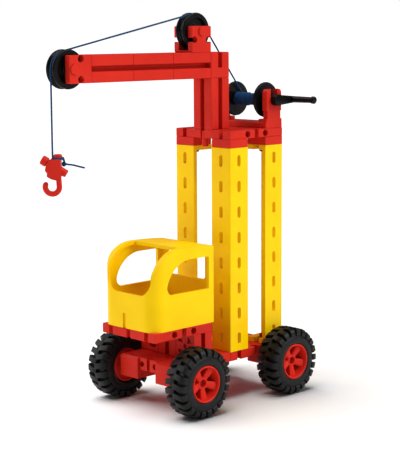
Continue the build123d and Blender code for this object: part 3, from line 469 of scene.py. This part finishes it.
def make_winding():
    """Turns of cord side by side on the drum, a little uneven, thicker on the side away from the crank."""
    low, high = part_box("cord_winding")
    axis = middle("cord_winding")
    first = low.y + 1.1 * CORD_R
    last = high.y - 1.1 * CORD_R
    core = (high.x - low.x) / 2 - 1.15 * CORD_R
    points = []
    for step in range(int(WINDING_TURNS * TURN_STEPS) + 1):
        share = step / (WINDING_TURNS * TURN_STEPS)
        angle = 2 * math.pi * share * WINDING_TURNS
        y = first + (last - first) * share + 0.1 * MM * math.sin(angle * 0.37)
        step_up = min(max((WINDING_WAIST - y) / CORD_R, 0.0), 1.0)
        radius = core - THIN_WINDING * step_up + 0.05 * MM * math.sin(angle * 0.21)
        points.append(Vector((axis.x + radius * math.cos(angle), y, axis.z - radius * math.sin(angle))))
    piece = add_object("wound_cord", tube("wound_cord", points, CORD_R, 10))
    paint(piece, "blue_cord")
    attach(piece, "winch")
    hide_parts("cord_winding")


make_winding()

# ---------------------------------------------------------------- wheels

LUGS = 22                        # in each of the two rows
SPOKES = 5
WHEEL_HALF = 7.5                 # half a wheel's width in mm, tyre and rim alike
TREAD_R = 18.0                   # about where a lug leaves the carcass, in mm
TYRE_EDGE = 0.22                 # rounding in mm
RIM_EDGE = 0.2


def ring(bm, profile, segments):
    """Revolve a closed outline of (distance along the axle, radius) in mm about the Y axis."""
    loops = []
    for step in range(segments):
        angle = 2 * math.pi * step / segments
        loops.append([bm.verts.new(Vector((r * math.cos(angle), y, r * math.sin(angle))) * MM)
                      for y, r in profile])
    for step in range(segments):
        here = loops[step]
        there = loops[(step + 1) % segments]
        for index in range(len(profile)):
            beside = (index + 1) % len(profile)
            bm.faces.new((here[index], here[beside], there[beside], there[index]))


def rounded(profile, rounds=2):
    """Cut the corners of a closed outline, a few times, so that it becomes smooth."""
    for _ in range(rounds):
        cut = []
        for (ya, ra), (yb, rb) in zip(profile, profile[1:] + profile[:1]):
            cut.append((0.78 * ya + 0.22 * yb, 0.78 * ra + 0.22 * rb))
            cut.append((0.22 * ya + 0.78 * yb, 0.22 * ra + 0.78 * rb))
        profile = cut
    return profile


def lug(bm, angle, side):
    """One block of the tread: it starts on the tyre's shoulder and runs slanting to the middle."""
    outline = [(-0.7, 17.2), (-0.7, 19.75), (0.6, 20.0), (5.3, 19.95), (6.7, 19.2), (7.5, 17.6),
               (7.5, 15.9), (6.6, 15.2), (5.0, 16.6)]
    pitch = 2 * math.pi / LUGS
    faces = []
    for edge in (-1, 1):
        row = []
        for y, r in outline:
            lean = pitch * 0.30 * (1 - y / WHEEL_HALF)
            half = pitch * (0.34 - 0.05 * (r - TREAD_R) / 2.0)
            a = angle + lean + edge * half
            row.append(bm.verts.new(Vector((r * math.cos(a), side * y, r * math.sin(a))) * MM))
        faces.append(row)
    bm.faces.new(faces[0])
    bm.faces.new(reversed(faces[1]))
    for index in range(len(outline)):
        beside = (index + 1) % len(outline)
        bm.faces.new((faces[0][index], faces[1][index], faces[1][beside], faces[0][beside]))


def tyre_mesh():
    """A tyre about the Y axis: a smooth carcass with bulging sidewalls and two rows of lugs."""
    half = WHEEL_HALF
    carcass = [(-half + 0.5, 10.8), (-half, 11.6), (-half + 0.1, 14.4), (-half + 1.0, 16.2),
               (-half + 2.6, 17.6), (0.0, 17.9), (half - 2.6, 17.6), (half - 1.0, 16.2), (half - 0.1, 14.4),
               (half, 11.6), (half - 0.5, 10.8), (half - 2.0, 10.75), (0.0, 10.75), (-half + 2.0, 10.75)]
    bm = bmesh.new()
    ring(bm, rounded(carcass), 96)
    for number in range(LUGS):
        angle = 2 * math.pi * number / LUGS
        lug(bm, angle, 1)
        lug(bm, angle + math.pi / LUGS, -1)
    return mesh_from("tyre", bm, 40)


def bar(bm, start, end, half_start, half_end, front_start, front_end, back):
    """A spoke along +X: radii start to end, half widths, front faces and back face along Y, in mm."""
    corners = []
    for r, half, front in ((start, half_start, front_start), (end, half_end, front_end)):
        corners.append([bm.verts.new(Vector(c) * MM) for c in
                        ((r, back, -half), (r, front - 0.5, -half), (r, front, -half * 0.55),
                         (r, front, half * 0.55), (r, front - 0.5, half), (r, back, half))])
    bm.faces.new(corners[0])
    bm.faces.new(reversed(corners[1]))
    for index in range(6):
        beside = (index + 1) % 6
        bm.faces.new((corners[0][index], corners[1][index], corners[1][beside], corners[0][beside]))
    return [v for row in corners for v in row]


def rim_mesh():
    """A dished rim about the Y axis, its outer side towards +Y: lip, barrel, hub, inner web, spokes."""
    outer = WHEEL_HALF
    lip = rounded([(outer - 2.2, 10.6), (outer - 0.4, 10.7), (outer - 0.05, 10.2), (outer - 0.35, 9.55),
                   (outer - 1.6, 9.1), (outer - 5.2, 8.5), (-outer + 1.2, 8.5), (-outer + 0.6, 9.0),
                   (-outer + 0.6, 9.6), (-outer + 1.6, 10.2)], 2)
    hub = rounded([(outer - 3.3, 2.15), (outer - 3.0, 2.7), (outer - 3.2, 3.5), (outer - 4.6, 3.9),
                   (-outer + 3.0, 3.4), (-outer + 2.4, 3.1), (-outer + 2.4, 2.3), (-outer + 3.0, 2.1)], 2)
    bm = bmesh.new()
    ring(bm, lip, 80)
    ring(bm, hub, 48)
    ring(bm, [(-outer + 1.8, 3.0), (-outer + 1.4, 5.8), (-outer + 1.8, 8.7), (-outer + 3.0, 8.7),
              (-outer + 2.6, 5.8), (-outer + 3.0, 3.0)], 60)
    for number in range(SPOKES):
        verts = bar(bm, 3.0, 9.2, 1.7, 2.5, outer - 3.3, outer - 1.9, outer - 6.4)
        turn = Matrix.Rotation(2 * math.pi * number / SPOKES + math.pi / 2, 3, "Y")
        bmesh.ops.rotate(bm, verts=verts, cent=(0, 0, 0), matrix=turn)
    return mesh_from("rim", bm, 38)


def place_wheel(mesh, name, node, side):
    """Put a wheel's mesh about its own axle; side is -1 on the left, where the outer side is -Y."""
    copy = mesh.copy()
    copy.name = name
    centre = middle(f"tyre_{node}")
    if side < 0:
        copy.transform(Matrix.Rotation(math.pi, 4, "Z"))
    copy.transform(Matrix.Translation(centre))
    return add_object(name, copy)


tyre_pattern = tyre_mesh()
rim_pattern = rim_mesh()
for corner in CORNERS:
    side = -1 if corner.endswith("left") else 1
    for kind, pattern, width in (("tyre", tyre_pattern, TYRE_EDGE), ("rim", rim_pattern, RIM_EDGE)):
        node = f"{kind}_{corner}"
        piece = place_wheel(pattern, f"{node}_detailed", corner, side)
        bevel(piece, width, angle=38)
        paint(piece, SLOTS[node])
        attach(piece, BODY_OF[node])
        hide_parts(node)
bpy.data.meshes.remove(tyre_pattern)
bpy.data.meshes.remove(rim_pattern)

# ---------------------------------------------------------------- floor and light


FLOOR_REACH = 30.0               # metres from the middle to each side
WORLD_LIGHT = 0.15               # on the crane and floor; the camera sees 1.0
# name, direction, strength, softness in degrees, and whether it leaves out the floor or lights it alone
SUNS = (
    ("key", (-0.35, 0.62, -0.70), 2.8, 50, "EXCLUDE"),
    ("fill", (0.47, -0.62, -0.63), 2.2, 70, "EXCLUDE"),
    ("overhead", (0.22, -0.22, -1.0), 3.7, 60, "INCLUDE"),
)


def make_floor():
    """A wide white floor with a very faint unevenness of tone."""
    bm = bmesh.new()
    bmesh.ops.create_grid(bm, x_segments=1, y_segments=1, size=FLOOR_REACH)
    floor = add_object("floor", mesh_from("floor", bm))
    material, tree, shader = new_material("white_floor")
    coords = tree.nodes.new("ShaderNodeTexCoord").outputs["Object"]
    tone = ramp(tree, noise(tree, coords, 3, 2), ((0.3, (0.93, 0.93, 0.93)), (0.7, (0.94, 0.94, 0.94))))
    tree.links.new(tone, shader.inputs["Base Color"])
    shader.inputs["Roughness"].default_value = 0.8
    shader.inputs["Specular IOR Level"].default_value = 0.1
    floor.data.materials.append(material)
    return floor


def studio_sun(floor, name, direction, strength, softness, reach):
    """A large soft light from far off, shining along a direction; softness is its width in degrees.

    reach is INCLUDE for a light on the floor alone, and EXCLUDE for a light on all but the floor.
    """
    data = bpy.data.lights.new(name, "SUN")
    data.energy = strength
    data.angle = math.radians(softness)
    light = add_object(name, data)
    light.rotation_euler = Vector(direction).to_track_quat("-Z", "Y").to_euler()
    lit = bpy.data.collections.new(f"{name}_receivers")
    lit.objects.link(floor)
    lit.collection_objects[0].light_linking.link_state = reach
    light.light_linking.receiver_collection = lit


def make_world():
    """A white studio that the camera sees as white paper and that lights the crane gently."""
    world = bpy.data.worlds.new("studio")
    world.use_nodes = True
    tree = world.node_tree
    background = tree.nodes["Background"]
    background.inputs["Color"].default_value = (1.0, 1.0, 1.0, 1)
    rays = tree.nodes.new("ShaderNodeLightPath")
    strength = tree.nodes.new("ShaderNodeMapRange")
    strength.inputs["To Min"].default_value = WORLD_LIGHT
    strength.inputs["To Max"].default_value = 1.0
    tree.links.new(rays.outputs["Is Camera Ray"], strength.inputs["Value"])
    tree.links.new(strength.outputs["Result"], background.inputs["Strength"])
    bpy.context.scene.world = world


floor = make_floor()
make_world()
for sun in SUNS:
    studio_sun(floor, *sun)
bpy.context.scene.view_settings.view_transform = "Standard"
